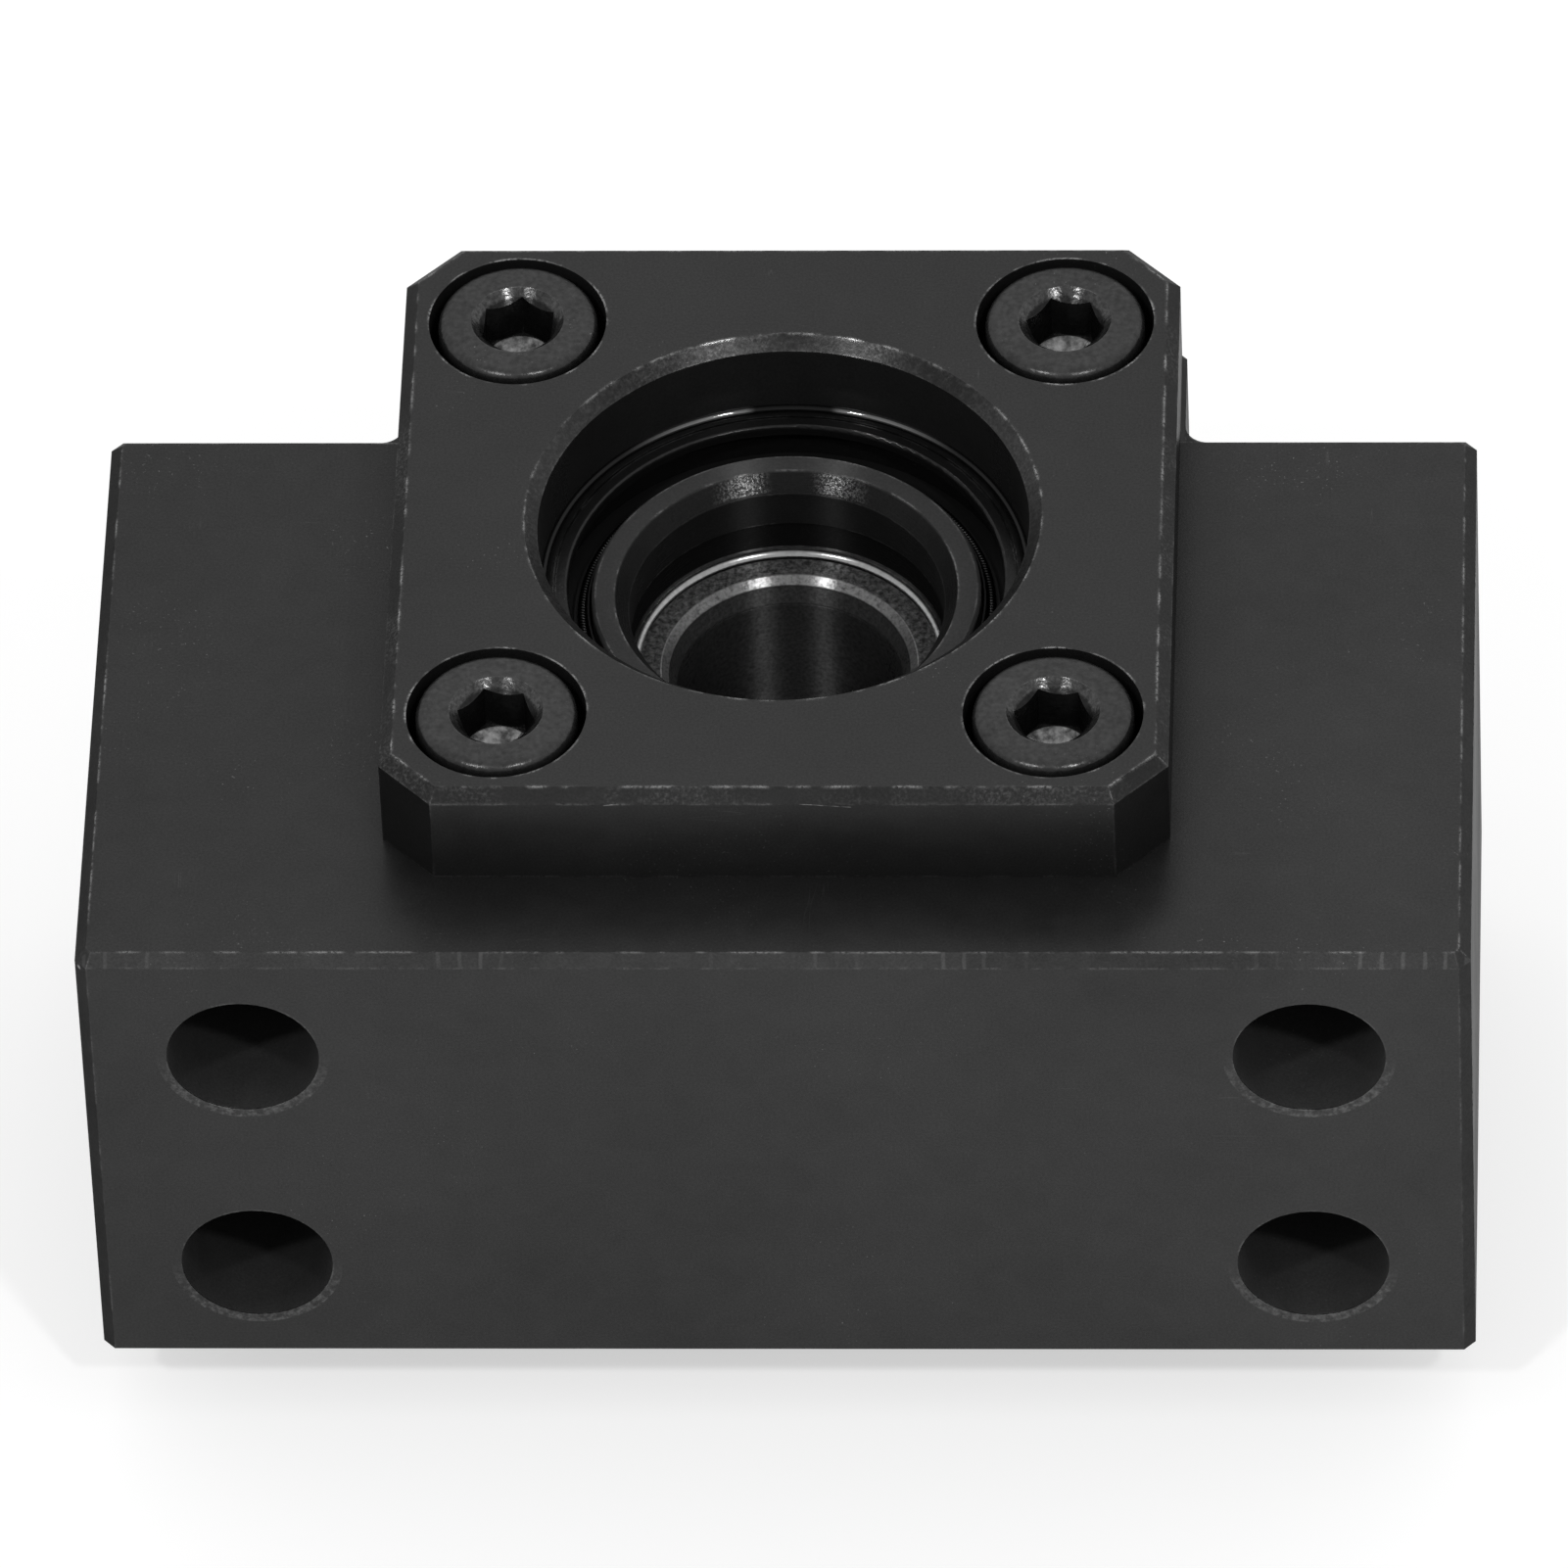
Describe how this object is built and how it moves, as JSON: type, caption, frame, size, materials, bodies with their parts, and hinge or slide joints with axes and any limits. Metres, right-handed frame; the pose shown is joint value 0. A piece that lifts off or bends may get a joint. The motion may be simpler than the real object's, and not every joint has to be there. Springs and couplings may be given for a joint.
{
  "type": "ball screw end support",
  "caption": "Fixed-side bearing block for a ball screw end: shouldered steel housing, bolted square cover, stepped collar and seal in its bore, bolt holes through the base.",
  "frame": {"origin": "on the shaft axis, at the housing's back face", "axes": "+Z along the shaft axis towards the bolted cover, +X across the mounting base, -Y down to the mounting base's face"},
  "size_m": [0.06, 0.039, 0.0342],
  "materials": {
    "housing": "milled and blackened, satin",
    "cover": "milled and blackened, satin, edges worn bright",
    "screws": "blackened, smooth",
    "bearing_steel": "ground",
    "ball_steel": "polished",
    "cage": "moulded polyamide",
    "collar": "turned and blackened",
    "seal_case": "pressed sheet, coated black",
    "seal_lip": "moulded nitrile rubber",
    "spring": "close-wound wire"
  },
  "bodies": {
    "block": {"housing": "housing", "cover": "cover", "cover_screws": "screws", "front_outer_ring": "bearing_steel", "rear_outer_ring": "bearing_steel", "front_seal_case": "seal_case", "front_seal_lip": "seal_lip", "front_garter_spring": "spring", "rear_seal_case": "seal_case", "rear_seal_lip": "seal_lip", "rear_garter_spring": "spring"},
    "rotor": {"front_collar": "collar", "rear_collar": "collar", "front_inner_ring": "bearing_steel", "rear_inner_ring": "bearing_steel"},
    "front_ball_set": {"front_balls": "ball_steel", "front_cage": "cage"},
    "rear_ball_set": {"rear_balls": "ball_steel", "rear_cage": "cage"}
  },
  "joints": [
    {"name": "shaft_spin", "type": "hinge", "parent": "block", "child": "rotor", "pos_m": [0, 0, 0], "axis": [0, 0, 1], "continuous": true},
    {"name": "front_ball_set_spin", "type": "hinge", "parent": "block", "child": "front_ball_set", "pos_m": [0, 0, 0.0155], "axis": [0, 0, 1], "continuous": true},
    {"name": "rear_ball_set_spin", "type": "hinge", "parent": "block", "child": "rear_ball_set", "pos_m": [0, 0, 0.0075], "axis": [0, 0, 1], "continuous": true}
  ],
  "couplings": [
    {"joint": "front_ball_set_spin", "follows": "shaft_spin", "ratio": 0.3855},
    {"joint": "rear_ball_set_spin", "follows": "shaft_spin", "ratio": 0.3855}
  ]
}
